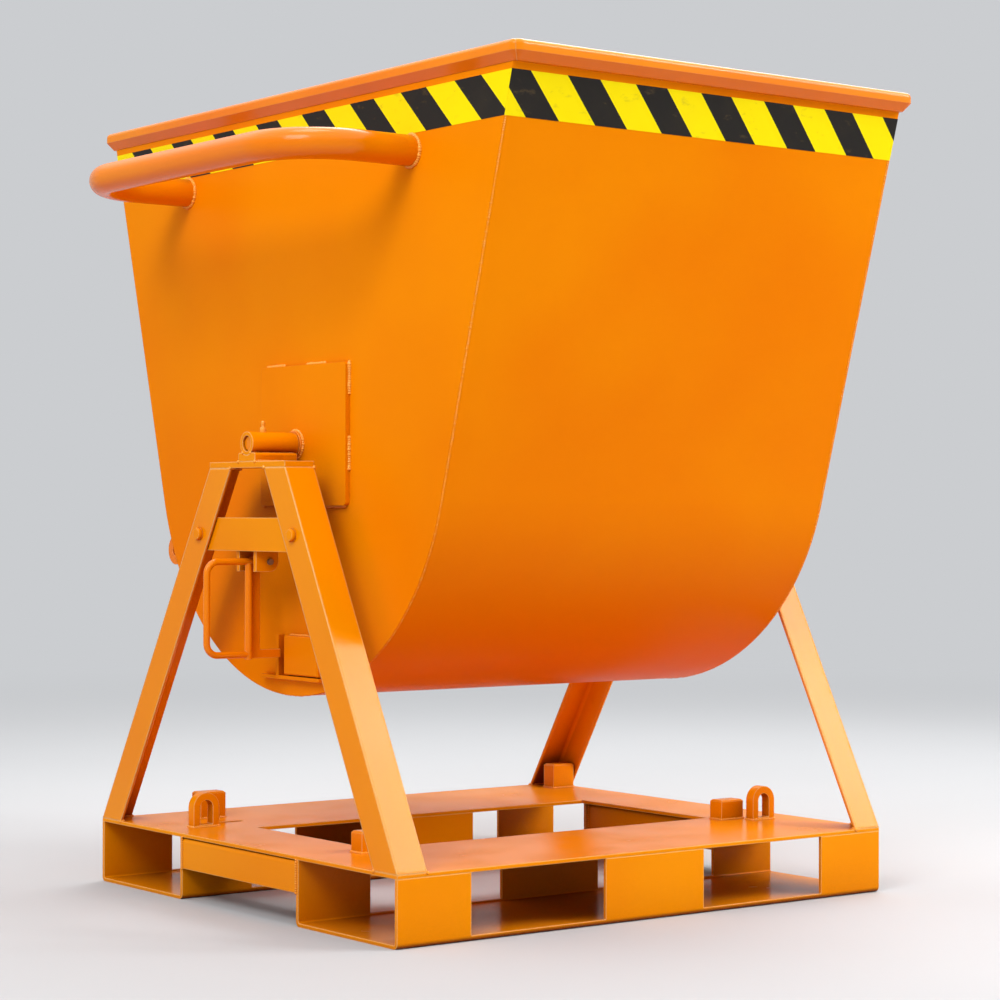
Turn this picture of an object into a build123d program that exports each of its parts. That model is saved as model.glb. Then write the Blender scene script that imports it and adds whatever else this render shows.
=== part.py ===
"""Tipping hopper: a round-bottomed steel trough that turns on two trunnion pins between A-frames.

The A-frames stand on a fork-lift base with open channels. A hand latch under the near crossbar
holds the trough upright. Millimetres, +Z up, X along the trunnion axis, origin on the ground
under the middle of the base. The near end (-X) has the handle and the latch; front is -Y.
The trunnion axis lies a little in front of the middle.
"""
from build123d import *
import math
import os

os.makedirs("parts", exist_ok=True)

# Fork-lift base
base_length = 1000.0
base_width = 900.0
base_height = 110.0
base_sheet = 6.0
channel_width = 275.0
channel_bend = 9.0
end_post = 136.0
middle_post = 204.0
cross_depth = 130.0
cross_drop = 52.0
deck_strip = 145.0
deck_slot_length = 42.0
deck_slot_width = 16.0
deck_slot_inset_x = 154.0
deck_slot_inset_y = 180.0

# A-frames of rolled angle
leg_flange = 55.0
leg_wall = 6.0
leg_root_radius = 6.0
leg_toe_radius = 3.0
apex_width = 228.0
apex_thickness = 10.0

# Trunnion bearings
pivot_height = 755.0
pivot_offset = -25.0
pin_diameter = 25.0
running_clearance = 0.05
bearing_diameter = 38.0
saddle_thickness = 10.0
saddle_rise = 4.0
saddle_width = 50.0
saddle_length = 80.0
collar_diameter = 44.0
collar_width = 6.0
collar_gap = 0.5
pin_recess = 4.0
pin_chamfer = 1.5

# Crossbars and their bolts
crossbar_height = 54.0
crossbar_thickness = 6.0
crossbar_centre_height = 609.0
crossbar_end_gap = 14.0
bolt_diameter = 12.0
bolt_hole = 13.0
bolt_across_flats = 19.0
bolt_head_height = 7.5
nut_height = 10.0
bolt_tail = 3.0

# Round-bottomed bucket
bucket_length = 796.0
bucket_sheet = 5.0
trough_radius = 430.0
bucket_bottom = 345.0
rim_height = 1332.0
mouth_width = 1204.0
rail_height = 30.0
rail_depth = 14.0
rail_corner_radius = 16.0
rail_edge_radius = 8.0
rail_under_slant = 13.0
doubler_width = 252.0
doubler_height = 228.0
doubler_shift = -18.0
doubler_lift = 14.5
doubler_thickness = 8.0
doubler_corner = 6.0

# Hazard tape round the bucket
tape_width = 66.0
tape_below_rim = 40.5
tape_thickness = 0.5

# Tilt handle
handle_height = 1199.0
handle_spacing = 672.0
handle_reach = 210.0
handle_bend = 110.0
handle_diameter = 48.3

# Tipping eye on the rear of the trough
eye_height = 585.0
eye_radius = 26.0
eye_hole = 22.0
eye_stand_off = 15.0
eye_thickness = 10.0
eye_inset = 14.0

# Latch strike on the near end plate: a block, and a ledge with an upright keeper beside the block
strike_width = 100.0
strike_height = 64.0
strike_depth = 14.0
strike_edge_y = 2.0
strike_bottom = 380.0
strike_chamfer = 2.0
ledge_length = 175.0
ledge_centre_y = -12.5
ledge_depth = 12.0
ledge_thickness = 6.0
ledge_height = 372.0
keeper_gap = 18.0
keeper_thickness = 8.0

# Latch lever
latch_axis_drop = 17.0
latch_axis_inset = 38.0
latch_pin_diameter = 10.0
latch_pin_head = 16.0
latch_pin_head_height = 4.0
latch_hub_diameter = 20.0
latch_hub_length = 42.0
latch_hub_centre_y = -6.0
hub_side_clearance = 0.5
lug_thickness = 8.0
lug_reach = 16.0
lug_rise = 22.0
loop_bar = 11.0
loop_height = 150.0
loop_outer_reach = 96.0
loop_inner_reach = 18.0
loop_bend = 20.0
loop_inner_bar = 12.0
loop_foot = 2.5
loop_lap = 3.0
tongue_thickness = 8.0
tongue_width = 16.0
nose_height = 14.0
nose_drop = 143.0
nose_gap = 2.5

# Lashing lugs and stop blocks on the deck
deck_lug_width = 50.0
deck_lug_height = 58.0
deck_lug_thickness = 18.0
deck_lug_eye = 25.0
deck_lug_eye_sill = 4.0
deck_lug_inset_x = 80.0
deck_lug_inset_y = 210.0
block_length = 50.0
block_width = 30.0
block_hole = 10.0
block_chamfer = 3.0
front_block_height = 34.0
front_block_inset_x = 122.0
front_block_inset_y = 251.0
rear_block_height = 46.0
near_rear_block_inset_x = 155.0
near_rear_block_inset_y = 100.0
far_rear_block_inset_x = 34.0
far_rear_block_inset_y = 65.0

# Heights and half sizes that follow from the sizes above
half_length = base_length / 2
half_width = base_width / 2
deck_under = base_height - base_sheet
inner_wall = half_width - channel_width
channel_centre = half_width - channel_width / 2
window_length = (base_length - 2 * end_post - middle_post) / 2
window_centre = middle_post / 2 + window_length / 2
half_bucket = bucket_length / 2
half_mouth = mouth_width / 2
arc_centre = bucket_bottom + trough_radius
bearing_bottom = pivot_height - bearing_diameter / 2
saddle_under = bearing_bottom - saddle_thickness
apex_under = saddle_under - apex_thickness
doubler_face = half_bucket + doubler_thickness
bearing_inner = doubler_face + collar_width + collar_gap
crossbar_face = half_length - leg_wall
crossbar_back = crossbar_face - crossbar_thickness
latch_x = -(half_length - latch_axis_inset)
latch_z = crossbar_centre_height - crossbar_height / 2 - latch_axis_drop
tongue_y = strike_edge_y + keeper_gap / 2

# The trough wall leaves the round bottom as a tangent and ends at the rim's half width
wall_rise = rim_height - arc_centre
wall_angle = math.acos(trough_radius / math.hypot(half_mouth, wall_rise)) - math.atan2(wall_rise, half_mouth)
leg_rise = apex_under - base_height

# The trunnion axis on planes across it, as Y and Z
pivot = (pivot_offset, pivot_height)

ends = (("near", -1), ("far", 1))
sides = (("front", -1), ("rear", 1))


def save(piece: BuildPart, name: str) -> None:
    """Label a finished piece and write it as a STEP file."""
    piece.part.label = name
    export_step(piece.part, f"parts/{name}.step")


def wall_outer(height: float) -> float:
    """Distance of the straight wall's outer face from the middle plane at a height."""
    return half_mouth - (rim_height - height) * math.tan(wall_angle)


def leg_lean(side: int) -> float:
    """Angle from upright of the legs on the front (-1) or rear (1) side."""
    return math.atan2(half_width - apex_width / 2 - side * pivot_offset, leg_rise)


def heel_at(side: int, height: float) -> float:
    """Y of a leg's outer corner line at a height."""
    return side * (half_width - (height - base_height) * math.tan(leg_lean(side)))


def bar_end(side: int, height: float) -> float:
    """Y of a crossbar's end at a height, set in from the leg's outer corner line."""
    return heel_at(side, height) - side * crossbar_end_gap / math.cos(leg_lean(side))


def bolt_place(side: int) -> tuple[float, float]:
    """Y and Z of the bolt in the middle of a leg's outer flange, at the crossbar's middle."""
    flange_middle = leg_flange / 2 / math.cos(leg_lean(side))
    return heel_at(side, crossbar_centre_height) - side * flange_middle, crossbar_centre_height


def trough_outline(inset: float) -> Sketch:
    """Filled cross-section of the trough, drawn in Y and Z, its face moved in by the inset."""
    radius = trough_radius - inset
    top = half_mouth - inset / math.cos(wall_angle)
    tangent_y = radius * math.cos(wall_angle)
    tangent_z = arc_centre - radius * math.sin(wall_angle)
    with BuildSketch() as section:
        with BuildLine():
            Line((top, rim_height), (tangent_y, tangent_z))
            ThreePointArc((tangent_y, tangent_z), (0, arc_centre - radius), (-tangent_y, tangent_z))
            Line((-tangent_y, tangent_z), (-top, rim_height))
            Line((-top, rim_height), (top, rim_height))
        make_face()
    return section.sketch


def bar_section(plane: Plane, place: tuple[float, float], diameter: float) -> Sketch:
    """Cross-section of a round bar at a place on a plane."""
    with BuildSketch(plane) as section:
        with Locations(place):
            Circle(diameter / 2)
    return section.sketch


outer_outline = trough_outline(0)
inner_outline = trough_outline(bucket_sheet)

# Deck plate with the opening between the channels and a slot beside the near rear lug
with BuildPart() as deck:
    with BuildSketch(Plane.XY.offset(deck_under)):
        Rectangle(base_length, base_width)
        Rectangle(base_length - 2 * deck_strip, 2 * inner_wall, mode=Mode.SUBTRACT)
        with Locations((-half_length + deck_slot_inset_x, half_width - deck_slot_inset_y)):
            Rectangle(deck_slot_length, deck_slot_width, mode=Mode.SUBTRACT)
    extrude(amount=base_sheet)
save(deck, "deck_plate")

# Folded fork channels with two windows in each wall
for side_name, side in sides:
    with BuildPart() as channel:
        with BuildSketch(Plane.YZ.offset(-half_length)):
            with Locations((side * channel_centre, deck_under / 2)):
                Rectangle(channel_width, deck_under)
            fillet(vertices().group_by(Axis.Y)[0], channel_bend)
            with Locations((side * channel_centre, base_sheet + deck_under / 2)):
                RectangleRounded(
                    channel_width - 2 * base_sheet, deck_under, channel_bend - base_sheet, mode=Mode.SUBTRACT
                )
        extrude(amount=base_length)
        with BuildSketch(Plane.XZ):
            with Locations((-window_centre, deck_under), (window_centre, deck_under)):
                Rectangle(window_length, 2 * (deck_under - channel_bend))
        extrude(amount=base_width, both=True, mode=Mode.SUBTRACT)
    save(channel, f"fork_channel_{side_name}")

# Cross members, channels open downward between the fork channels
for end_name, end in ends:
    with BuildPart() as cross:
        with BuildSketch(Plane.XZ.offset(-inner_wall)):
            with Locations((end * (half_length - cross_depth / 2), deck_under - cross_drop / 2)):
                Rectangle(cross_depth, cross_drop)
            fillet(vertices().group_by(Axis.Y)[-1], channel_bend)
            with Locations((end * (half_length - cross_depth / 2), deck_under - cross_drop / 2 - base_sheet)):
                RectangleRounded(
                    cross_depth - 2 * base_sheet, cross_drop, channel_bend - base_sheet, mode=Mode.SUBTRACT
                )
        extrude(amount=2 * inner_wall)
    save(cross, f"cross_member_{end_name}")

# Legs of rolled angle, heel outward, from the deck's corners to the apex plates
for end_name, end in ends:
    for side_name, side in sides:
        lean = leg_lean(side)
        along = Vector(0, -side * math.sin(lean), math.cos(lean))
        across = Vector(0, -side * math.cos(lean), -math.sin(lean))
        foot = Vector(end * half_length, side * half_width, base_height)
        turn = -end * side
        with BuildPart() as leg:
            with BuildSketch(Plane(origin=foot - along * leg_flange, x_dir=across, z_dir=along)):
                with BuildLine():
                    Polyline(
                        (0, 0),
                        (leg_flange, 0),
                        (leg_flange, turn * leg_wall),
                        (leg_wall, turn * leg_wall),
                        (leg_wall, turn * leg_flange),
                        (0, turn * leg_flange),
                        close=True,
                    )
                make_face()
                fillet(vertices().sort_by_distance((leg_wall, turn * leg_wall))[0], leg_root_radius)
                fillet(vertices().sort_by_distance((leg_flange, turn * leg_wall))[0], leg_toe_radius)
                fillet(vertices().sort_by_distance((leg_wall, turn * leg_flange))[0], leg_toe_radius)
            extrude(amount=leg_rise / math.cos(lean) + 2 * leg_flange)
            split(bisect_by=Plane.XY.offset(base_height), keep=Keep.TOP)
            split(bisect_by=Plane.XY.offset(apex_under), keep=Keep.BOTTOM)
            with BuildSketch(Plane.YZ.offset(end * half_length)):
                with Locations(bolt_place(side)):
                    Circle(bolt_hole / 2)
            extrude(amount=-end * (leg_wall + leg_root_radius), mode=Mode.SUBTRACT)
        save(leg, f"leg_{end_name}_{side_name}")

# Apex plates, cradle saddles and bearing tubes
for end_name, end in ends:
    with BuildPart() as apex:
        with BuildSketch(Plane.XY.offset(apex_under)):
            with Locations((end * (half_length - leg_flange / 2), pivot_offset)):
                Rectangle(leg_flange, apex_width)
        extrude(amount=apex_thickness)
    save(apex, f"apex_plate_{end_name}")

    with BuildPart() as saddle:
        with BuildSketch(Plane.YZ.offset(end * half_length)):
            with Locations((pivot_offset, saddle_under)):
                Rectangle(saddle_width, saddle_thickness + saddle_rise, align=(Align.CENTER, Align.MIN))
            fillet(vertices().group_by(Axis.Y)[-1], saddle_rise)
            with Locations(pivot):
                Circle(bearing_diameter / 2, mode=Mode.SUBTRACT)
        extrude(amount=-end * saddle_length)
    save(saddle, f"saddle_{end_name}")

    with BuildPart() as bearing:
        with BuildSketch(Plane.YZ.offset(end * half_length)):
            with Locations(pivot):
                Circle(bearing_diameter / 2)
                Circle(pin_diameter / 2 + running_clearance, mode=Mode.SUBTRACT)
        extrude(amount=-end * (half_length - bearing_inner))
    save(bearing, f"bearing_tube_{end_name}")

# Crossbars behind the outer flanges of the legs
bar_low = crossbar_centre_height - crossbar_height / 2
bar_high = crossbar_centre_height + crossbar_height / 2
bolt_places = [bolt_place(side) for side_name, side in sides]
for end_name, end in ends:
    with BuildPart() as crossbar:
        with BuildSketch(Plane.YZ.offset(end * crossbar_face)):
            with BuildLine():
                Polyline(
                    (bar_end(1, bar_low), bar_low),
                    (bar_end(1, bar_high), bar_high),
                    (bar_end(-1, bar_high), bar_high),
                    (bar_end(-1, bar_low), bar_low),
                    close=True,
                )
            make_face()
            with Locations(*bolt_places):
                Circle(bolt_hole / 2, mode=Mode.SUBTRACT)
        extrude(amount=-end * crossbar_thickness)
    save(crossbar, f"crossbar_{end_name}")

bolt_length = leg_wall + crossbar_thickness + nut_height + bolt_tail
with BuildPart() as bolts:
    for end_name, end in ends:
        with BuildSketch(Plane.YZ.offset(end * half_length)):
            with Locations(*bolt_places):
                RegularPolygon(bolt_across_flats / 2, 6, major_radius=False)
        extrude(amount=end * bolt_head_height)
        with BuildSketch(Plane.YZ.offset(end * half_length)):
            with Locations(*bolt_places):
                Circle(bolt_diameter / 2)
        extrude(amount=-end * bolt_length)
save(bolts, "crossbar_bolts")

with BuildPart() as nuts:
    for end_name, end in ends:
        with BuildSketch(Plane.YZ.offset(end * crossbar_back)):
            with Locations(*bolt_places):
                RegularPolygon(bolt_across_flats / 2, 6, major_radius=False)
                Circle(bolt_diameter / 2, mode=Mode.SUBTRACT)
        extrude(amount=-end * nut_height)
save(nuts, "crossbar_nuts")

# Lashing lugs, upright plates with a round top and an arched eye, at two opposite corners of the deck
eye_low = base_height + deck_lug_eye_sill
eye_high = base_height + deck_lug_height - deck_lug_width / 2
far_lug_x = half_length - deck_lug_inset_x
rear_lug_y = half_width - deck_lug_inset_y
with BuildPart() as deck_lugs:
    for lug_x, lug_y in ((-far_lug_x, rear_lug_y), (far_lug_x, -rear_lug_y)):
        with BuildSketch(Plane.XZ.offset(-lug_y - deck_lug_thickness / 2)):
            with Locations((lug_x, base_height)):
                Rectangle(
                    deck_lug_width,
                    deck_lug_height - deck_lug_width / 2,
                    align=(Align.CENTER, Align.MIN),
                )
            with Locations((lug_x, eye_high)):
                Circle(deck_lug_width / 2)
                Circle(deck_lug_eye / 2, mode=Mode.SUBTRACT)
            with Locations((lug_x, (eye_low + eye_high) / 2)):
                Rectangle(deck_lug_eye, eye_high - eye_low, mode=Mode.SUBTRACT)
        extrude(amount=deck_lug_thickness)
save(deck_lugs, "lashing_lugs")

# Stop blocks: two low ones with a hole in the top on the front strip of the deck, and two taller plain ones
# on the rear strip, one behind the near lug and one in the foot of the far leg
front_block_x = half_length - front_block_inset_x
front_block_y = front_block_inset_y - half_width
front_blocks = ((-front_block_x, front_block_y), (front_block_x, front_block_y))
rear_blocks = (
    (near_rear_block_inset_x - half_length, half_width - near_rear_block_inset_y),
    (half_length - far_rear_block_inset_x, half_width - far_rear_block_inset_y),
)
with BuildPart() as blocks:
    for places, block_height in ((front_blocks, front_block_height), (rear_blocks, rear_block_height)):
        with BuildSketch(Plane.XY.offset(base_height)):
            with Locations(*places):
                Rectangle(block_length, block_width)
        extrude(amount=block_height)
    tops = faces().filter_by(Axis.Z).filter_by(lambda face: face.center().Z > base_height)
    chamfer(tops.edges(), block_chamfer)
    with BuildSketch(Plane.XY.offset(base_height)):
        with Locations(*front_blocks):
            Circle(block_hole / 2)
    extrude(amount=front_block_height, mode=Mode.SUBTRACT)
save(blocks, "stop_blocks")

# Trough sheet, bent round the bottom, and the two end plates that close it
with BuildPart() as trough:
    with BuildSketch(Plane.YZ.offset(-(half_bucket - bucket_sheet))):
        add(outer_outline)
        add(inner_outline, mode=Mode.SUBTRACT)
    extrude(amount=2 * (half_bucket - bucket_sheet))
save(trough, "trough_sheet")

for end_name, end in ends:
    with BuildPart() as end_plate:
        with BuildSketch(Plane.YZ.offset(end * half_bucket)):
            add(outer_outline)
            with Locations(pivot):
                Circle(pin_diameter / 2, mode=Mode.SUBTRACT)
        extrude(amount=-end * bucket_sheet)
    save(end_plate, f"end_plate_{end_name}")

# Rim rails outside the top edge, round above and slanting back to the wall below, mitred at the corners
rim_x = half_bucket + rail_depth
rim_y = half_mouth + rail_depth
mitres = {
    "near": (((-rim_x, -rim_y), (-1, 1)), ((-rim_x, rim_y), (-1, -1))),
    "far": (((rim_x, -rim_y), (1, 1)), ((rim_x, rim_y), (1, -1))),
    "front": (((-rim_x, -rim_y), (1, -1)), ((rim_x, -rim_y), (-1, -1))),
    "rear": (((-rim_x, rim_y), (1, 1)), ((rim_x, rim_y), (-1, 1))),
}
for rail_name, cuts in mitres.items():
    with BuildPart() as rail:
        with BuildSketch(Plane.XY.offset(rim_height - rail_height)):
            RectangleRounded(2 * rim_x, 2 * rim_y, rail_corner_radius)
        extrude(amount=rail_height)
        fillet(faces().sort_by(Axis.Z)[-1].edges(), rail_edge_radius)
        chamfer(faces().sort_by(Axis.Z)[0].edges(), rail_under_slant)
        with BuildSketch(Plane.YZ.offset(-half_bucket)):
            add(outer_outline)
        extrude(amount=bucket_length, mode=Mode.SUBTRACT)
        for (corner_x, corner_y), (normal_x, normal_y) in cuts:
            split(
                bisect_by=Plane(origin=(corner_x, corner_y, 0), z_dir=(normal_x, normal_y, 0)),
                keep=Keep.TOP,
            )
    save(rail, f"rim_rail_{rail_name}")

# Doubler plates and trunnion pins
for end_name, end in ends:
    with BuildPart() as doubler:
        with BuildSketch(Plane.YZ.offset(end * half_bucket)):
            with Locations((pivot_offset + doubler_shift, pivot_height + doubler_lift)):
                RectangleRounded(doubler_width, doubler_height, doubler_corner)
            with Locations(pivot):
                Circle(pin_diameter / 2, mode=Mode.SUBTRACT)
        extrude(amount=end * doubler_thickness)
    save(doubler, f"doubler_{end_name}")

    with BuildPart() as trunnion:
        with BuildSketch(Plane.YZ.offset(end * (half_bucket - bucket_sheet))):
            with Locations(pivot):
                Circle(pin_diameter / 2)
        extrude(amount=end * (half_length - pin_recess - half_bucket + bucket_sheet))
        chamfer(edges().sort_by(Axis.X)[0 if end < 0 else -1], pin_chamfer)
    save(trunnion, f"trunnion_pin_{end_name}")

# Thrust collars on the pins, between the doublers and the bearings
with BuildPart() as collars:
    for end_name, end in ends:
        with BuildSketch(Plane.YZ.offset(end * doubler_face)):
            with Locations(pivot):
                Circle(collar_diameter / 2)
                Circle(pin_diameter / 2, mode=Mode.SUBTRACT)
        extrude(amount=end * collar_width)
save(collars, "thrust_collars")

# Hazard tape on the end plates and on the sloping walls
tape_high = rim_height - tape_below_rim
tape_low = tape_high - tape_width
for end_name, end in ends:
    with BuildPart() as end_tape:
        with BuildSketch(Plane.YZ.offset(end * half_bucket)):
            with BuildLine():
                Polyline(
                    (wall_outer(tape_low), tape_low),
                    (wall_outer(tape_high), tape_high),
                    (-wall_outer(tape_high), tape_high),
                    (-wall_outer(tape_low), tape_low),
                    close=True,
                )
            make_face()
        extrude(amount=end * tape_thickness)
    save(end_tape, f"hazard_tape_{end_name}")

for side_name, side in sides:
    lift_y = side * tape_thickness * math.cos(wall_angle)
    lift_z = -tape_thickness * math.sin(wall_angle)
    with BuildPart() as side_tape:
        with BuildSketch(Plane.YZ.offset(-half_bucket)):
            with BuildLine():
                Polyline(
                    (side * wall_outer(tape_low), tape_low),
                    (side * wall_outer(tape_high), tape_high),
                    (side * wall_outer(tape_high) + lift_y, tape_high + lift_z),
                    (side * wall_outer(tape_low) + lift_y, tape_low + lift_z),
                    close=True,
                )
            make_face()
        extrude(amount=bucket_length)
    save(side_tape, f"hazard_tape_{side_name}")

# Tilt handle with two bends, welded to the near end plate, its closed inside left solid
arm_length = handle_reach - handle_bend
bend_x = -half_bucket - arm_length
bend_y = handle_spacing / 2 - handle_bend
with BuildPart() as handle:
    for side_name, side in sides:
        root = (side * handle_spacing / 2, handle_height)
        extrude(bar_section(Plane.YZ.offset(-half_bucket), root, handle_diameter), amount=-arm_length)
        bend_axis = Axis((bend_x, side * bend_y, handle_height), (0, 0, side))
        arm_end = bar_section(Plane.YZ.offset(bend_x), root, handle_diameter)
        revolve(arm_end, axis=bend_axis, revolution_arc=90)
    grip = (-half_bucket - handle_reach, handle_height)
    extrude(bar_section(Plane.XZ.offset(bend_y), grip, handle_diameter), amount=-2 * bend_y)
save(handle, "tilt_handle")

# Tipping eye on the rear of the round bottom
eye_angle = math.asin((arc_centre - eye_height) / trough_radius)
eye_reach = trough_radius + eye_stand_off
with BuildPart() as eye:
    with BuildSketch(Plane.YZ.offset(-half_bucket + eye_inset)):
        with Locations((eye_reach * math.cos(eye_angle), arc_centre - eye_reach * math.sin(eye_angle))):
            Circle(eye_radius)
            Circle(eye_hole / 2, mode=Mode.SUBTRACT)
        add(outer_outline, mode=Mode.SUBTRACT)
    extrude(amount=eye_thickness)
save(eye, "tipping_eye")

# Strike block, and the ledge under it with its upright keeper: the latch nose drops in between them
with BuildPart() as strike:
    with BuildSketch(Plane.YZ.offset(-half_bucket)):
        with Locations((strike_edge_y - strike_width / 2, strike_bottom + strike_height / 2)):
            Rectangle(strike_width, strike_height)
    extrude(amount=-strike_depth)
    chamfer(faces().sort_by(Axis.X)[0].edges(), strike_chamfer)
save(strike, "strike_box")

keeper_top = strike_bottom + strike_height
with BuildPart() as ledge:
    with BuildSketch(Plane.YZ.offset(-half_bucket)):
        with Locations((ledge_centre_y, ledge_height)):
            Rectangle(ledge_length, ledge_thickness, align=(Align.CENTER, Align.MIN))
        with Locations((strike_edge_y + keeper_gap, ledge_height)):
            Rectangle(keeper_thickness, keeper_top - ledge_height, align=(Align.MIN, Align.MIN))
    extrude(amount=-ledge_depth)
save(ledge, "strike_ledge")

# Latch lugs on the back of the near crossbar, and the pin through them
hub_half = latch_hub_length / 2
lug_ys = (
    latch_hub_centre_y + hub_half + hub_side_clearance + lug_thickness / 2,
    latch_hub_centre_y - hub_half - hub_side_clearance - lug_thickness / 2,
)
with BuildPart() as latch_lugs:
    for lug_y in lug_ys:
        with BuildSketch(Plane.XZ.offset(-lug_y - lug_thickness / 2)):
            with BuildLine():
                Polyline(
                    (-crossbar_back, latch_z - lug_reach),
                    (latch_x, latch_z - lug_reach),
                    (latch_x + lug_reach, latch_z),
                    (latch_x + lug_reach, latch_z + lug_rise),
                    (-crossbar_back, latch_z + lug_reach + lug_rise),
                    close=True,
                )
            make_face()
            with Locations((latch_x, latch_z)):
                Circle(lug_reach)
                Circle(latch_pin_diameter / 2, mode=Mode.SUBTRACT)
        extrude(amount=lug_thickness)
save(latch_lugs, "latch_lugs")

pin_high = lug_ys[0] + lug_thickness / 2
pin_low = lug_ys[1] - lug_thickness / 2 - latch_pin_head_height
with BuildPart() as latch_pin:
    with BuildSketch(Plane.XZ.offset(-pin_high)):
        with Locations((latch_x, latch_z)):
            Circle(latch_pin_head / 2)
    extrude(amount=-latch_pin_head_height)
    with BuildSketch(Plane.XZ.offset(-pin_high)):
        with Locations((latch_x, latch_z)):
            Circle(latch_pin_diameter / 2)
    extrude(amount=pin_high - pin_low)
save(latch_pin, "latch_pin")

# Latch lever: hub, loop handle and tongue
with BuildPart() as hub:
    with BuildSketch(Plane.XZ.offset(-latch_hub_centre_y - hub_half)):
        with Locations((latch_x, latch_z)):
            Circle(latch_hub_diameter / 2)
            Circle(latch_pin_diameter / 2 + running_clearance, mode=Mode.SUBTRACT)
    extrude(amount=latch_hub_length)
save(hub, "latch_hub")

loop_low = latch_z - loop_height
loop_outer_x = latch_x - loop_outer_reach
loop_bend_x = loop_outer_x + loop_bend
loop_inner_x = latch_x - loop_inner_reach
loop_inner_low = loop_low - loop_bar / 2 - loop_foot
loop_inner_high = latch_z - loop_bar / 2 + loop_lap
with BuildPart() as loop:
    top_start = bar_section(Plane.YZ.offset(latch_x), (0, latch_z), loop_bar)
    extrude(top_start, amount=loop_bend_x - latch_x)
    top_end = bar_section(Plane.YZ.offset(loop_bend_x), (0, latch_z), loop_bar)
    revolve(top_end, axis=Axis((loop_bend_x, 0, latch_z - loop_bend), (0, -1, 0)), revolution_arc=90)
    grip_foot = bar_section(Plane.XY.offset(loop_low + loop_bend), (loop_outer_x, 0), loop_bar)
    extrude(grip_foot, amount=loop_height - 2 * loop_bend)
    revolve(grip_foot, axis=Axis((loop_bend_x, 0, loop_low + loop_bend), (0, -1, 0)), revolution_arc=90)
    bottom_start = bar_section(Plane.YZ.offset(loop_bend_x), (0, loop_low), loop_bar)
    extrude(bottom_start, amount=loop_inner_x - loop_bend_x)
    inner_foot = bar_section(Plane.XY.offset(loop_inner_low), (loop_inner_x, 0), loop_inner_bar)
    extrude(inner_foot, amount=loop_inner_high - loop_inner_low)
    with BuildSketch(Plane.XZ.offset(-loop_bar)):
        with Locations((latch_x, latch_z)):
            Circle(latch_hub_diameter / 2)
    extrude(amount=2 * loop_bar, mode=Mode.SUBTRACT)
save(loop, "latch_handle")

nose_tip = -half_bucket - strike_depth - nose_gap
with BuildPart() as tongue:
    with BuildSketch(Plane.XZ.offset(-tongue_y - tongue_thickness / 2)):
        with BuildLine():
            Polyline(
                (latch_x - tongue_width / 2, latch_z),
                (latch_x + tongue_width / 2, latch_z),
                (latch_x + tongue_width / 2, latch_z - nose_drop),
                (nose_tip, latch_z - nose_drop),
                (nose_tip, latch_z - nose_drop - nose_height),
                (latch_x - tongue_width / 2, latch_z - nose_drop - nose_height),
                close=True,
            )
        make_face()
        with Locations((latch_x, latch_z)):
            Circle(latch_hub_diameter / 2, mode=Mode.SUBTRACT)
    extrude(amount=tongue_thickness)
save(tongue, "latch_tongue")
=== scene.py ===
"""Looks of a tipping hopper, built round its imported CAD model.

The CAD pieces keep their shape and place and get their finishes here. Weld beads, chamfered bolts and grease
nipples are added as meshes. A plain studio and a camera at the photograph's angle come last.
Metres, +Z up, X along the trunnion axis, near end -X, front -Y.
"""
import logging
import math
from collections.abc import Iterator
from dataclasses import dataclass, replace
from enum import Enum, IntEnum
from functools import cache
from typing import Protocol

import bpy
from mathutils import Matrix, Vector


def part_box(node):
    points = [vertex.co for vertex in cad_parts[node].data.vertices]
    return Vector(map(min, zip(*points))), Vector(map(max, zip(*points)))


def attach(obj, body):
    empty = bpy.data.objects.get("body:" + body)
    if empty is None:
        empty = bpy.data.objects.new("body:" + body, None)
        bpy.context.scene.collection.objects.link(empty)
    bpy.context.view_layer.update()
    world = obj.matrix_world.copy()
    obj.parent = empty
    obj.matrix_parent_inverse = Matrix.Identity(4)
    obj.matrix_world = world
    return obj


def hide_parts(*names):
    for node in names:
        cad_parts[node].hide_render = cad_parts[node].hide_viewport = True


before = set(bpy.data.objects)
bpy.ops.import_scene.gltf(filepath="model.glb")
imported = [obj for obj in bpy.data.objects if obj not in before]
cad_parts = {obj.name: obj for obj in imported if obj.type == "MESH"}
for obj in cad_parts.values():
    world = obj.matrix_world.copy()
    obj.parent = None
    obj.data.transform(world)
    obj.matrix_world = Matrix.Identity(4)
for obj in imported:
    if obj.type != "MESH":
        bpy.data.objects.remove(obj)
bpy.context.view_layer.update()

log = logging.getLogger("hopper")

Pair = tuple[float, float]
Point = tuple[float, float, float]
Rgb = tuple[int, int, int]
Settings = dict[str, object]
Inputs = dict[str | int, object]

HAIR = 1e-6  # metres, too short to matter


class Body(Enum):
    """Bodies of the CAD model that the added pieces ride on."""

    BASE = "base"
    BUCKET = "bucket"


class End(IntEnum):
    """The two ends of the trunnion axis, as signs of X."""

    NEAR = -1
    FAR = 1


class Side(IntEnum):
    """The two long sides, as signs of Y."""

    FRONT = -1
    REAR = 1


def both_ends(*stems: str) -> tuple[str, ...]:
    """Names of the near and the far node of each pair."""
    return tuple(f"{stem}_{end.name.lower()}" for stem in stems for end in End)


@dataclass(frozen=True)
class Box:
    """Lowest and highest corner of a CAD node at rest."""

    low: Vector
    high: Vector

    @classmethod
    def of(cls, node: str) -> "Box":
        """The box of a node."""
        return cls(*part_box(node))

    @property
    def middle(self) -> Vector:
        """Its middle."""
        return (self.low + self.high) / 2

    @property
    def half(self) -> Vector:
        """Half its length, width and height."""
        return (self.high - self.low) / 2


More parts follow.
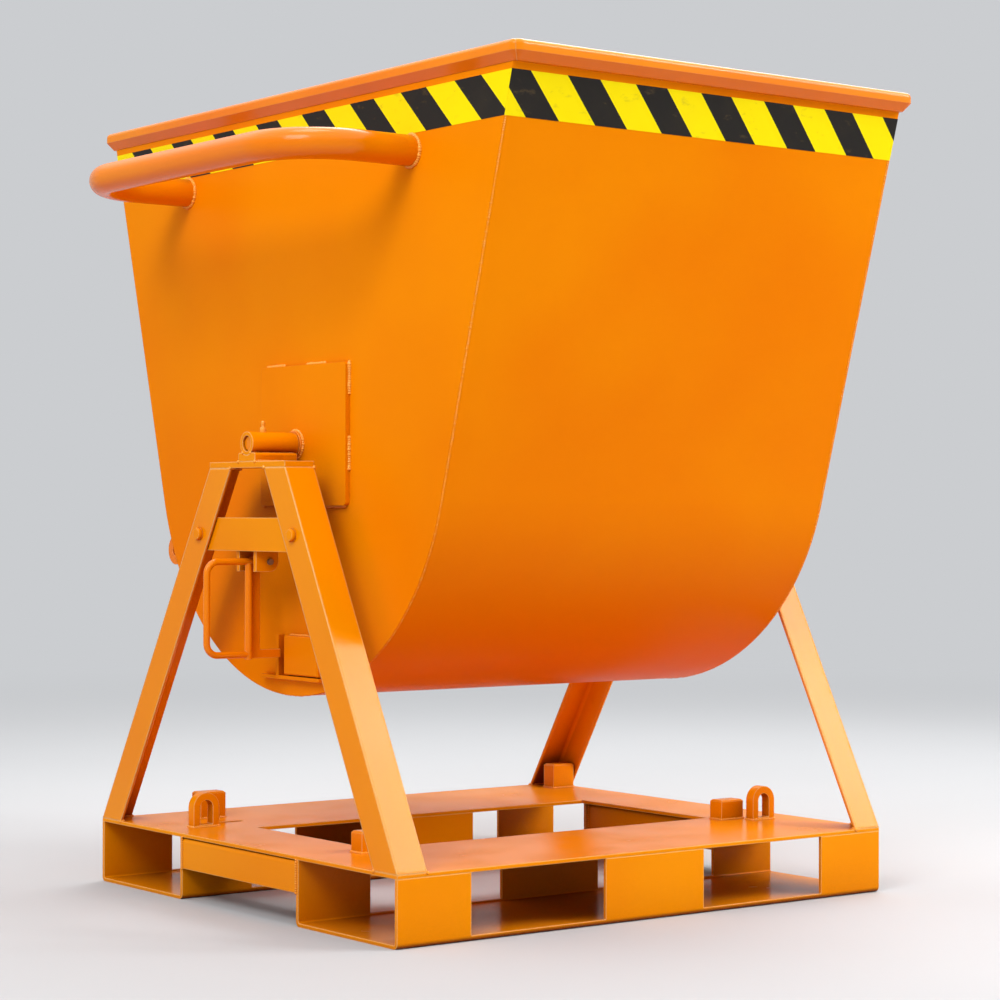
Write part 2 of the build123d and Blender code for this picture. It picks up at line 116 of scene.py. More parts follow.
def linear(colour: Rgb) -> tuple[float, float, float, float]:
    """Turns an sRGB colour into the linear one that a socket takes.

    Args:
        colour: red, green and blue from 0 to 255.

    Returns:
        Linear red, green and blue, and an alpha of 1.
    """
    channels = []
    for level in colour:
        share = level / 255
        channels.append(share / 12.92 if share <= 0.04045 else ((share + 0.055) / 1.055) ** 2.4)
    return (*channels, 1.0)


class Signal:
    """A node's output socket that takes part in Python arithmetic."""

    def __init__(self, graph: "Graph", socket: bpy.types.NodeSocket) -> None:
        """Keeps the socket and the graph that new Math nodes go into."""
        self.graph = graph
        self.socket = socket

    def maths(self, operation: str, *terms: object) -> "Signal":
        """Adds a Math node.

        Args:
            operation: the Math node's operation.
            terms: signals or numbers for its sockets, in order.

        Returns:
            The node's value.
        """
        return self.graph.node("ShaderNodeMath", {"operation": operation}, dict(enumerate(terms)))

    def __add__(self, other: object) -> "Signal":
        """Sum."""
        return self.maths("ADD", self, other)

    __radd__ = __add__

    def __sub__(self, other: object) -> "Signal":
        """Difference."""
        return self.maths("SUBTRACT", self, other)

    def __rsub__(self, other: object) -> "Signal":
        """Difference from a number."""
        return self.maths("SUBTRACT", other, self)

    def __mul__(self, other: object) -> "Signal":
        """Product."""
        return self.maths("MULTIPLY", self, other)

    __rmul__ = __mul__

    def __truediv__(self, other: object) -> "Signal":
        """Quotient."""
        return self.maths("DIVIDE", self, other)

    def __lt__(self, other: object) -> "Signal":
        """1 where this value is the smaller one, else 0."""
        return self.maths("LESS_THAN", self, other)

    def __gt__(self, other: object) -> "Signal":
        """1 where this value is the larger one, else 0."""
        return self.maths("GREATER_THAN", self, other)

    def fraction(self) -> "Signal":
        """The part after the decimal point."""
        return self.maths("FRACT", self)


class Graph:
    """A node tree, of a material, the world or Geometry Nodes."""

    def __init__(self, tree: bpy.types.NodeTree) -> None:
        """Keeps the tree that nodes are added to."""
        self.tree = tree

    @staticmethod
    def find(
        sockets: bpy.types.NodeInputs | bpy.types.NodeOutputs, key: str | int
    ) -> bpy.types.NodeSocket:
        """Picks a socket by its place, or by its name among those in use.

        Args:
            sockets: a node's inputs or outputs.
            key: the socket's place or name.

        Returns:
            The socket.
        """
        if isinstance(key, int):
            return sockets[key]
        return next(socket for socket in sockets if socket.name == key and socket.enabled)

    def add(self, kind: str, settings: Settings, inputs: Inputs) -> bpy.types.Node:
        """Adds one node.

        Args:
            kind: the node's type.
            settings: its properties, which are set before its sockets.
            inputs: a number, colour, signal or list of signals for each socket that isn't left as it is.

        Returns:
            The new node.
        """
        node = self.tree.nodes.new(kind)
        for name, setting in settings.items():
            setattr(node, name, setting)
        for key, value in inputs.items():
            socket = self.find(node.inputs, key)
            for source in value if isinstance(value, list) else [value]:
                if isinstance(source, Signal):
                    self.tree.links.new(source.socket, socket)
                else:
                    socket.default_value = source
        return node

    def node(self, kind: str, settings: Settings, inputs: Inputs, output: str | int = 0) -> Signal:
        """Adds one node and hands back one of its outputs.

        Args:
            kind: the node's type.
            settings: its properties.
            inputs: values and signals for its sockets.
            output: name or place of the output.

        Returns:
            That output as a signal.
        """
        return Signal(self, self.find(self.add(kind, settings, inputs).outputs, output))

    def axis(self, vector: Signal, letter: str) -> Signal:
        """One of a vector's three parts."""
        return self.node("ShaderNodeSeparateXYZ", {}, {"Vector": vector}, letter)

    def step(self, value: Signal, low: float, high: float) -> Signal:
        """A smooth step from 0 at low to 1 at high."""
        return self.node(
            "ShaderNodeMapRange",
            {"interpolation_type": "SMOOTHSTEP"},
            {"Value": value, "From Min": low, "From Max": high},
        )

    def blend(self, share: Signal, first: Signal, second: Signal) -> Signal:
        """A shader between two, by a share from 0 to 1."""
        return self.node("ShaderNodeMixShader", {}, {0: share, 1: first, 2: second})

    def seen(self) -> Signal:
        """Tells the rays that show a surface from those that only light others.

        Returns:
            1 for rays that come from the camera or off a glossy or clear surface, else 0.
        """
        path = self.add("ShaderNodeLightPath", {}, {})
        kinds = ("Is Camera Ray", "Is Glossy Ray", "Is Transmission Ray")
        ray, *others = (Signal(self, path.outputs[kind]) for kind in kinds)
        for other in others:
            ray = ray.maths("MAXIMUM", ray, other)
        return ray


class Shader(Graph):
    """The node tree of one material, on object coordinates."""

    def __init__(self, name: str) -> None:
        """Makes an empty material.

        Args:
            name: the material's name.
        """
        self.material = bpy.data.materials.new(name)
        self.material.use_nodes = True
        super().__init__(self.material.node_tree)
        self.tree.nodes.clear()
        self.place = self.node("ShaderNodeTexCoord", {}, {}, "Object")

    def facing_up(self) -> Signal:
        """The upward part of the surface's own normal, 1 on a face that looks straight up."""
        return self.axis(self.node("ShaderNodeTexCoord", {}, {}, "Normal"), "Z")

    def flat_normal(self) -> Signal:
        """The surface's normal as it is."""
        return self.node("ShaderNodeNewGeometry", {}, {}, "Normal")

    def noise(
        self, scale: float, detail: float = 3.0, roughness: float = 0.55, stretch: Point = (1.0, 1.0, 1.0)
    ) -> Signal:
        """Noise over the surface.

        Args:
            scale: waves in a metre.
            detail: octaves.
            roughness: weight of the finer octaves.
            stretch: how much the waves are packed along each axis.

        Returns:
            A value from 0 to 1, mostly near 0.5.
        """
        where = self.node("ShaderNodeVectorMath", {"operation": "MULTIPLY"}, {0: self.place, 1: stretch})
        return self.node(
            "ShaderNodeTexNoise", {},
            {"Vector": where, "Scale": scale, "Detail": detail, "Roughness": roughness},
        )

    def dot(self, first: Signal, second: object) -> Signal:
        """The dot product of two vectors."""
        return self.node("ShaderNodeVectorMath", {"operation": "DOT_PRODUCT"}, {0: first, 1: second}, "Value")

    def mix(self, share: Signal, under: object, over: object) -> Signal:
        """A colour between two, by a share from 0 to 1."""
        return self.node(
            "ShaderNodeMix", {"data_type": "RGBA"}, {"Factor": share, "A": under, "B": over}, "Result"
        )

    def edge(self, radius: float) -> tuple[Signal, Signal]:
        """Softens sharp edges in the shading.

        Args:
            radius: how far from an edge the rounding starts.

        Returns:
            The rounded normal, and a value that rises above 0 near an edge.
        """
        rounded = self.node("ShaderNodeBevel", {"samples": 6}, {"Radius": radius})
        return rounded, 1 - self.dot(rounded, self.flat_normal())

    def crevice(self, reach: float) -> Signal:
        """A value that rises towards 1 where other surfaces are near."""
        openness = self.node("ShaderNodeAmbientOcclusion", {"samples": 6}, {"Distance": reach}, "AO")
        return 1 - openness

    def bump(self, height: Signal, normal: Signal) -> Signal:
        """A normal that follows a height in metres."""
        return self.node(
            "ShaderNodeBump", {}, {"Strength": 1.0, "Distance": 1.0, "Height": height, "Normal": normal}
        )

    def surface(self, inputs: Inputs) -> bpy.types.Material:
        """Closes the tree with a Principled shader.

        Args:
            inputs: its sockets' values and signals.

        Returns:
            The finished material.
        """
        shader = self.node("ShaderNodeBsdfPrincipled", {}, inputs)
        self.add("ShaderNodeOutputMaterial", {}, {"Surface": shader})
        return self.material


class Finish(Protocol):
    """Anything that can be made a material."""

    def material(self) -> bpy.types.Material:
        """Makes the material."""


@dataclass(frozen=True)
class GlossPaint:
    """Orange gloss paint sprayed on sheet steel, a little wavy under the paint.

    Shares run from 0 to 1. Reaches, radii and heights are in metres and scales in waves in a metre. A range
    says where an effect starts and where it is full.
    """

    name: str
    colour: Rgb
    deep: Rgb
    dust: float
    crevice_shade: float
    wear: float
    # Colours of painted shade: in recesses, on undersides and in narrow crevices.
    hollow_shade_colour: Rgb
    underside_shade_colour: Rgb = (231, 107, 0)
    dust_colour: Rgb = (158, 96, 46)
    crevice_shade_colour: Rgb = (84, 40, 8)
    primer: Rgb = (176, 150, 128)
    # Colour and share of a painted highlight along edges.
    edge_highlight_colour: Rgb = (255, 206, 134)
    edge_highlight_share: float = 0.0
    roughness: float = 0.25
    specular: float = 0.13
    edge_radius: float = 0.0016
    crevice_reach: float = 0.016
    hollow_shade_reach: float = 0.16
    hollow_shade_share: float = 0.85
    tone_range: Pair = (0.35, 0.65)
    under_range: Pair = (-0.15, -0.85)
    crevice_shade_range: Pair = (0.3, 1.1)
    hollow_shade_range: Pair = (0.35, 0.95)
    up_range: Pair = (0.55, 0.95)
    dust_range: Pair = (0.3, 0.75)
    chip_range: Pair = (0.02, 0.12)
    edge_range: Pair = (0.02, 0.2)
    least_speck: float = 0.62
    speck_fade: float = 0.06
    tone_scale: float = 1.8
    blotch_scale: float = 11.0
    speck_scale: float = 90.0
    run_scale: float = 16.0
    run_stretch: Point = (1.0, 1.0, 0.12)
    wave_scale: float = 2.4
    wave_height: float = 0.004
    peel_scale: float = 260.0
    peel_height: float = 0.00005

    def material(self) -> bpy.types.Material:
        """Makes the paint with painted shade on undersides, in recesses and in crevices, dust, chips, a
        painted highlight on edges and orange peel.

        Returns:
            The material.
        """
        shader = Shader(self.name)
        rounded, edge = shader.edge(self.edge_radius)
        up = shader.facing_up()
        broad = shader.step(shader.noise(self.tone_scale, 2), *self.tone_range)
        blotch = shader.noise(self.blotch_scale, 4)
        speck = shader.noise(self.speck_scale, 5, 0.65)
        runs = shader.noise(self.run_scale, 4, 0.6, self.run_stretch)
        # Painted shade: faces that look down are mixed towards a deeper orange.
        under = shader.step(up, *self.under_range)
        # Painted shade: narrow crevices and joints are darkened towards brown, in vertical streaks.
        crevice_shade = shader.step(shader.crevice(self.crevice_reach) * (0.55 + 0.9 * runs), *self.crevice_shade_range)
        # Painted shade: where other surfaces stand within the wide reach, the paint is darkened and reddened.
        hollow_shade = shader.step(shader.crevice(self.hollow_shade_reach), *self.hollow_shade_range)
        dust = shader.step(up, *self.up_range) * shader.step(blotch, *self.dust_range) * self.dust
        bare = self.least_speck - 0.1 * self.wear
        chip = shader.step(edge, *self.chip_range) * shader.step(speck, bare, bare + self.speck_fade)
        colour = shader.mix(broad * 0.7 + blotch * 0.3, linear(self.deep), linear(self.colour))
        for share, over in (
            (under, self.underside_shade_colour),
            (hollow_shade * self.hollow_shade_share, self.hollow_shade_colour),
            (crevice_shade * self.crevice_shade, self.crevice_shade_colour),
            (dust, self.dust_colour),
            (chip * self.wear, self.primer),
            # Painted highlight: edges are lightened towards a pale peach.
            (shader.step(edge, *self.edge_range) * self.edge_highlight_share, self.edge_highlight_colour),
        ):
            colour = shader.mix(share, colour, linear(over))
        sheen = self.roughness + 0.12 * (blotch - 0.5) + 0.35 * dust + 0.25 * chip
        wave = shader.noise(self.wave_scale, 1) * self.wave_height
        peel = shader.noise(self.peel_scale, 2) * self.peel_height
        return shader.surface({
            "Base Color": colour,
            "Roughness": sheen,
            "Specular IOR Level": self.specular,
            "Normal": shader.bump(wave + peel, rounded),
        })


@dataclass(frozen=True)
class HazardTape:
    """Slanted yellow and black tape on one wall of the bucket."""

    name: str
    along: Point
    edge: float
    height: float
    period: float
    yellow: Rgb = (252, 228, 0)
    black: Rgb = (42, 39, 36)
    dirt: Rgb = (128, 104, 62)
    black_share: float = 0.476
    lean: float = 1.02
    roughness: float = 0.4
    specular: float = 0.06
    rub_scale: float = 70.0
    rub_stretch: Point = (0.4, 0.4, 1.0)
    rub_range: Pair = (0.58, 0.72)
    rub_share: float = 0.22
    blotch_scale: float = 14.0
    blotch_share: float = 0.12
    wander_scale: float = 300.0
    print_wander: float = 0.0006
    ripple_scale: float = 9.0
    ripple_height: float = 0.0012
    grain_scale: float = 420.0
    grain_height: float = 0.00002

    def material(self) -> bpy.types.Material:
        """Makes the tape with its printed stripes, rubbed dirt and film ripple.

        Returns:
            The material.
        """
        shader = Shader(self.name)
        run = shader.dot(shader.place, self.along)
        run = run - self.edge + (shader.axis(shader.place, "Z") - self.height) * self.lean
        wander = (shader.noise(self.wander_scale, 2) - 0.5) * self.print_wander
        black = ((run + wander) / self.period).fraction() < self.black_share
        blotch = shader.noise(self.blotch_scale, 4)
        rub = shader.step(shader.noise(self.rub_scale, 5, 0.65, self.rub_stretch), *self.rub_range)
        soiled = rub * self.rub_share + (blotch - 0.5) * self.blotch_share
        colour = shader.mix(black, linear(self.yellow), linear(self.black))
        colour = shader.mix(soiled, colour, linear(self.dirt))
        ripple = shader.noise(self.ripple_scale, 2) * self.ripple_height
        grain = shader.noise(self.grain_scale, 2) * self.grain_height
        return shader.surface({
            "Base Color": colour,
            "Roughness": self.roughness + 0.3 * rub + 0.1 * blotch,
            "Specular IOR Level": self.specular,
            "Normal": shader.bump(ripple + grain, shader.flat_normal()),
        })


@dataclass(frozen=True)
class TurnedSteel:
    """Bare turned steel with a film of grease."""

    name: str
    bright: Rgb = (176, 173, 168)
    dull: Rgb = (112, 106, 98)
    grease: Rgb = (46, 36, 26)
    roughness: float = 0.32
    edge_radius: float = 0.0006
    grease_reach: float = 0.012
    grease_range: Pair = (0.5, 1.1)
    grease_share: float = 0.8
    blotch_scale: float = 60.0
    mark_scale: float = 900.0
    mark_stretch: Point = (1.0, 0.05, 0.05)
    mark_depth: float = 0.00003

    def material(self) -> bpy.types.Material:
        """Makes the steel with its turning marks and grease in the corners.

        Returns:
            The material.
        """
        shader = Shader(self.name)
        rounded, edge = shader.edge(self.edge_radius)
        blotch = shader.noise(self.blotch_scale, 4)
        marks = shader.noise(self.mark_scale, 2, 0.5, self.mark_stretch)
        grease = shader.step(shader.crevice(self.grease_reach) + blotch * 0.5, *self.grease_range)
        colour = shader.mix(blotch, linear(self.dull), linear(self.bright))
        colour = shader.mix(grease * self.grease_share, colour, linear(self.grease))
        return shader.surface({
            "Base Color": colour,
            "Metallic": 1.0 - 0.6 * grease,
            "Roughness": self.roughness + 0.2 * blotch + 0.1 * edge,
            "Normal": shader.bump(marks * self.mark_depth, rounded),
        })


@dataclass(frozen=True)
class PaleFloor:
    """Plain pale studio floor that runs out into the colour of the surround."""

    surround: Rgb
    name: str = "pale_floor"
    colour: Rgb = (196, 197, 199)
    shade: Rgb = (191, 192, 194)
    shade_scale: float = 0.8
    roughness: float = 0.85
    specular: float = 0.1
    fade: Pair = (1.2, 6.5)

    def material(self) -> bpy.types.Material:
        """Makes the floor with a faint unevenness near the object.

        Returns:
            The material.
        """
        shader = Shader(self.name)
        colour = shader.mix(shader.noise(self.shade_scale, 4), linear(self.shade), linear(self.colour))
        plain = shader.node(
            "ShaderNodeBsdfPrincipled", {},
            {"Base Color": colour, "Roughness": self.roughness, "Specular IOR Level": self.specular},
        )
        glow = shader.node("ShaderNodeEmission", {}, {"Color": linear(self.surround), "Strength": 1.0})
        away = shader.node("ShaderNodeVectorMath", {"operation": "LENGTH"}, {0: shader.place}, "Value")
        share = shader.step(away, *self.fade) * shader.seen()
        shader.add("ShaderNodeOutputMaterial", {}, {"Surface": shader.blend(share, plain, glow)})
        return shader.material


# A lighter orange than the bucket's paint: painted light for the base's brighter faces. The deck and leg
# paints below share it.
LIGHTER_BASE_PAINT = GlossPaint(
    "base_paint", (244, 147, 0), (238, 134, 0), dust=0.25, crevice_shade=0.5, wear=0.25,
    hollow_shade_colour=(104, 42, 0), roughness=0.17, specular=0.05, edge_radius=0.003, edge_highlight_share=0.8,
)
DECK_PAINT = replace(LIGHTER_BASE_PAINT, name="deck_paint", specular=0.03)
LEG_PAINT = replace(LIGHTER_BASE_PAINT, name="leg_paint", specular=0.12, edge_radius=0.005, edge_highlight_share=1.0)
SHEET_PAINT = GlossPaint(
    "sheet_paint", (244, 140, 0), (236, 122, 0), dust=0.15, crevice_shade=0.2, wear=0.25,
    hollow_shade_colour=(150, 60, 0), roughness=0.36, specular=0.02,
)
FITTING_PAINT = GlossPaint(
    "fitting_paint", (244, 140, 0), (236, 120, 0), dust=0.15, crevice_shade=0.3, wear=0.25,
    hollow_shade_colour=(150, 60, 0), roughness=0.2, specular=0.22, edge_radius=0.002, edge_highlight_share=0.5,
)
# Pale, shiny orange on weld beads and grease nipples: a painted highlight, lighter than the paint round them.
WELD_HIGHLIGHT_PAINT = GlossPaint(
    "weld_paint", (250, 172, 64), (247, 152, 28), dust=0.0, crevice_shade=0.1, wear=0.0,
    hollow_shade_colour=(190, 90, 0), roughness=0.2, specular=0.3,
)
PIN_STEEL = TurnedSteel("turned_steel")


@cache
def made(finish: Finish) -> bpy.types.Material:
    """The finish's material, made only once."""
    return finish.material()


def dress(finish: Finish, *nodes: str) -> None:
    """Gives CAD nodes their finish.

    Args:
        finish: the finish.
        nodes: names of the nodes that wear it.
    """
    material = made(finish)
    for node in nodes:
        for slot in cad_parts[node].material_slots:
            slot.material = material
        log.info("finish %s on %s", material.name, node)


def linked(name: str, data: bpy.types.ID) -> bpy.types.Object:
    """Adds an object to the scene, at the origin.

    Args:
        name: its name.
        data: its mesh, lamp or camera data.

    Returns:
        The object.
    """
    added = bpy.data.objects.new(name, data)
    bpy.context.scene.collection.objects.link(added)
    return added


def settle(piece: bpy.types.Object, body: Body, *replaced: str) -> None:
    """Puts a finished piece of painted steel on its body.

    Args:
        piece: the piece, at the origin.
        body: the body that carries it.
        replaced: CAD nodes that it stands for.
    """
    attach(piece, body.value)
    if replaced:
        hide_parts(*replaced)
    log.info("piece %s on %s, %d faces", piece.name, body.value, len(piece.data.polygons))


class MeshTree(Graph):
    """A Geometry Nodes tree with named inputs, which ends in one plain mesh."""

    def __init__(self, name: str, inputs: dict[str, str]) -> None:
        """Makes the tree with its sockets.

        Args:
            name: name of the tree.
            inputs: socket type of each named input.
        """
        super().__init__(bpy.data.node_groups.new(name, "GeometryNodeTree"))
        sockets = {"Geometry": "NodeSocketGeometry", **inputs, "Material": "NodeSocketMaterial"}
        for label, kind in sockets.items():
            self.tree.interface.new_socket(label, in_out="INPUT", socket_type=kind)
        self.tree.interface.new_socket("Geometry", in_out="OUTPUT", socket_type="NodeSocketGeometry")
        self.entry = self.tree.nodes.new("NodeGroupInput")

    def given(self, label: str) -> Signal:
        """One of the tree's named inputs."""
        return Signal(self, self.find(self.entry.outputs, label))

    def stored(self, name: str, kind: str) -> Signal:
        """An attribute of the points that the tree is given."""
        return self.node("GeometryNodeInputNamedAttribute", {"data_type": kind}, {"Name": name}, "Attribute")

    def turned(self, sides: int, radius: Signal, low: object, high: object, crown: float) -> Signal:
        """A closed bar or prism along Z.

        Args:
            sides: sides of its section.
            radius: radius of the section's corners.
            low: height of its lower face.
            high: height of its crowned face.
            crown: share of the radius that the crowned face loses.

        Returns:
            The bar's mesh.
        """
        rings = 6
        foot = self.node("ShaderNodeCombineXYZ", {}, {"Z": low})
        head = self.node("ShaderNodeCombineXYZ", {}, {"Z": high})
        line = self.node("GeometryNodeCurvePrimitiveLine", {}, {"Start": foot, "End": head})
        line = self.node("GeometryNodeResampleCurve", {"mode": "COUNT"}, {"Curve": line, "Count": rings})
        last = self.node("GeometryNodeInputIndex", {}, {}) > rings - 1.5
        section = self.node("GeometryNodeCurvePrimitiveCircle", {}, {"Resolution": sides, "Radius": 1.0})
        scale = radius * (1 - crown * last)
        return self.node(
            "GeometryNodeCurveToMesh", {},
            {"Curve": line, "Profile Curve": section, "Scale": scale, "Fill Caps": True},
        )

    def join(self, *pieces: Signal) -> Signal:
        """Several meshes as one."""
        return self.node("GeometryNodeJoinGeometry", {}, {"Geometry": list(pieces)})

    def scatter(self, points: Signal, piece: Signal, turn: Signal, scale: object = (1.0, 1.0, 1.0)) -> None:
        """Ends the tree in a piece on each point, as realized and dressed meshes.

        Args:
            points: where the pieces go.
            piece: the mesh that is repeated.
            turn: rotation of each one.
            scale: size of each one.
        """
        pieces = self.node(
            "GeometryNodeInstanceOnPoints", {},
            {"Points": points, "Instance": piece, "Rotation": turn, "Scale": scale},
        )
        plain = self.node("GeometryNodeRealizeInstances", {}, {"Geometry": pieces})
        dressed = self.node(
            "GeometryNodeSetMaterial", {}, {"Geometry": plain, "Material": self.given("Material")}
        )
        self.add("NodeGroupOutput", {}, {"Geometry": dressed})

    def aligned(self, axis: str, direction: Signal) -> Signal:
        """The rotation that turns an axis of a piece to a direction."""
        return self.node("FunctionNodeAlignRotationToVector", {"axis": axis}, {"Vector": direction})

    def grow(self, name: str, host: bpy.types.Mesh, finish: Finish, values: Settings) -> bpy.types.Object:
        """Runs the tree on a mesh and keeps the result as a plain mesh.

        Args:
            name: name of the new piece.
            host: points or edges that the tree works on.
            finish: finish of the new piece.
            values: values of the named inputs.

        Returns:
            The new piece, at the origin.
        """
        values = {**values, "Material": made(finish)}
        piece = linked(name, host)
        modifier = piece.modifiers.new(name, "NODES")
        modifier.node_group = self.tree
        for item in self.tree.interface.items_tree:
            if item.in_out == "INPUT" and item.name in values:
                modifier[item.identifier] = values[item.name]
        graph = bpy.context.evaluated_depsgraph_get()
        mesh = bpy.data.meshes.new_from_object(piece.evaluated_get(graph))
        piece.modifiers.remove(modifier)
        mesh.name = name
        piece.data = mesh
        return piece


class FittingTree(MeshTree):
    """The tree of a small part that repeats, made along Z and turned its own way at each place."""

    def __init__(self, name: str, sizes: dict[str, float]) -> None:
        """Makes the tree with the part's sizes as inputs.

        Args:
            name: name of the part.
            sizes: its named sizes.
        """
        super().__init__(name, dict.fromkeys(sizes, "NodeSocketFloat"))
        self.name = name
        self.sizes = sizes

    def place(
        self, part: Signal, finish: Finish, points: list[Point], facing: list[Point]
    ) -> bpy.types.Object:
        """Puts the part at its places.

        Args:
            part: the part's mesh.
            finish: its finish.
            points: where the parts sit.
            facing: which way each one looks.

        Returns:
            All of them as one mesh.
        """
        host = bpy.data.meshes.new(f"{self.name}_places")
        host.from_pydata(points, [], [])
        store = host.attributes.new("facing", "FLOAT_VECTOR", "POINT")
        store.data.foreach_set("vector", [number for direction in facing for number in direction])
        turn = self.aligned("Z", self.stored("facing", "FLOAT_VECTOR"))
        self.scatter(self.given("Geometry"), part, turn)
        return self.grow(f"{self.name}_set", host, finish, self.sizes)


@dataclass(frozen=True)
class WeldRun:
    """One line of weld: its points, the bead's radius, and stitches with gaps where it isn't one pass."""

    points: tuple[Point, ...]
    radius: float
    stitch: float = 0.0
    gap: float = 0.0

    def passes(self) -> Iterator[list[Vector]]:
        """Cuts the line into its stitches.

        Returns:
            The points of each pass, in order.
        """
        points = [Vector(point) for point in self.points]
        if not self.stitch:
            yield points
            return
        travelled = 0.0
        period = self.stitch + self.gap
        run: list[Vector] = []
        for start, end in zip(points, points[1:]):
            length = (end - start).length
            cut = 0.0
            while cut < length - HAIR:
                inside = (travelled + cut + HAIR) % period
                welding = inside < self.stitch
                step = min((self.stitch if welding else period) - inside, length - cut) + HAIR
                if welding:
                    run = run or [start.lerp(end, cut / length)]
                    run.append(start.lerp(end, min(1.0, (cut + step) / length)))
                elif run:
                    yield run
                    run = []
                cut += step
            travelled += length
        if run:
            yield run


def ring(centre: Point, radius: float, count: int = 24) -> tuple[Point, ...]:
    """A closed circle in a plane across X.

    Args:
        centre: its middle.
        radius: its radius.
        count: its corners.

    Returns:
        Its points, the first one again at the end.
    """
    x, y, z = centre
    turns = [2 * math.pi * index / count for index in range(count + 1)]
    return tuple((x, y + radius * math.cos(turn), z + radius * math.sin(turn)) for turn in turns)


@dataclass
class WeldShop:
    """Makes the weld beads of a body, each a row of overlapping ripples."""

    ripple_step: float = 0.0036
    unevenness: float = 0.16
    flatness: float = 0.8
    segments: int = 8
    rings: int = 4
    seed: int = 11

    def tree(self) -> MeshTree:
        """Builds the tree that lays ripples along edges.

        Returns:
            The tree, with the ripple step, unevenness and seed as inputs.
        """
        tree = MeshTree("weld_bead", {
            "Ripple Step": "NodeSocketFloat", "Unevenness": "NodeSocketFloat", "Seed": "NodeSocketInt",
        })
        line = tree.node("GeometryNodeMeshToCurve", {}, {"Mesh": tree.given("Geometry")})
        line = tree.node(
            "GeometryNodeResampleCurve", {"mode": "LENGTH"},
            {"Curve": line, "Length": tree.given("Ripple Step")},
        )
        ripple = tree.node(
            "GeometryNodeMeshUVSphere", {}, {"Segments": self.segments, "Rings": self.rings, "Radius": 1.0}
        )
        ripple = tree.node("GeometryNodeSetShadeSmooth", {}, {"Geometry": ripple})
        turn = tree.aligned("X", tree.node("GeometryNodeInputTangent", {}, {}))
        uneven = tree.given("Unevenness")
        size = tree.node(
            "FunctionNodeRandomValue", {"data_type": "FLOAT"},
            {"Min": 1 - uneven, "Max": 1 + uneven, "Seed": tree.given("Seed")}, "Value",
        )
        size = size * tree.stored("bead_radius", "FLOAT")
        scale = tree.node("ShaderNodeCombineXYZ", {}, {"X": size * self.flatness, "Y": size, "Z": size})
        tree.scatter(line, ripple, turn, scale)
        return tree

    def lay(self, name: str, runs: list[WeldRun]) -> bpy.types.Object:
        """Lays the beads of one body.

        Args:
            name: name of the new piece.
            runs: its lines of weld.

        Returns:
            The beads as one mesh.
        """
        points: list[Vector] = []
        edges: list[tuple[int, int]] = []
        radii: list[float] = []
        for run in runs:
            for line in run.passes():
                first = len(points)
                points.extend(line)
                radii.extend([run.radius] * len(line))
                edges.extend((first + index, first + index + 1) for index in range(len(line) - 1))
        host = bpy.data.meshes.new(name)
        host.from_pydata(points, edges, [])
        host.attributes.new("bead_radius", "FLOAT", "POINT").data.foreach_set("value", radii)
        # The beads wear the pale weld paint, a painted highlight.
        return self.tree().grow(name, host, WELD_HIGHLIGHT_PAINT, {
            "Ripple Step": self.ripple_step, "Unevenness": self.unevenness, "Seed": self.seed,
        })


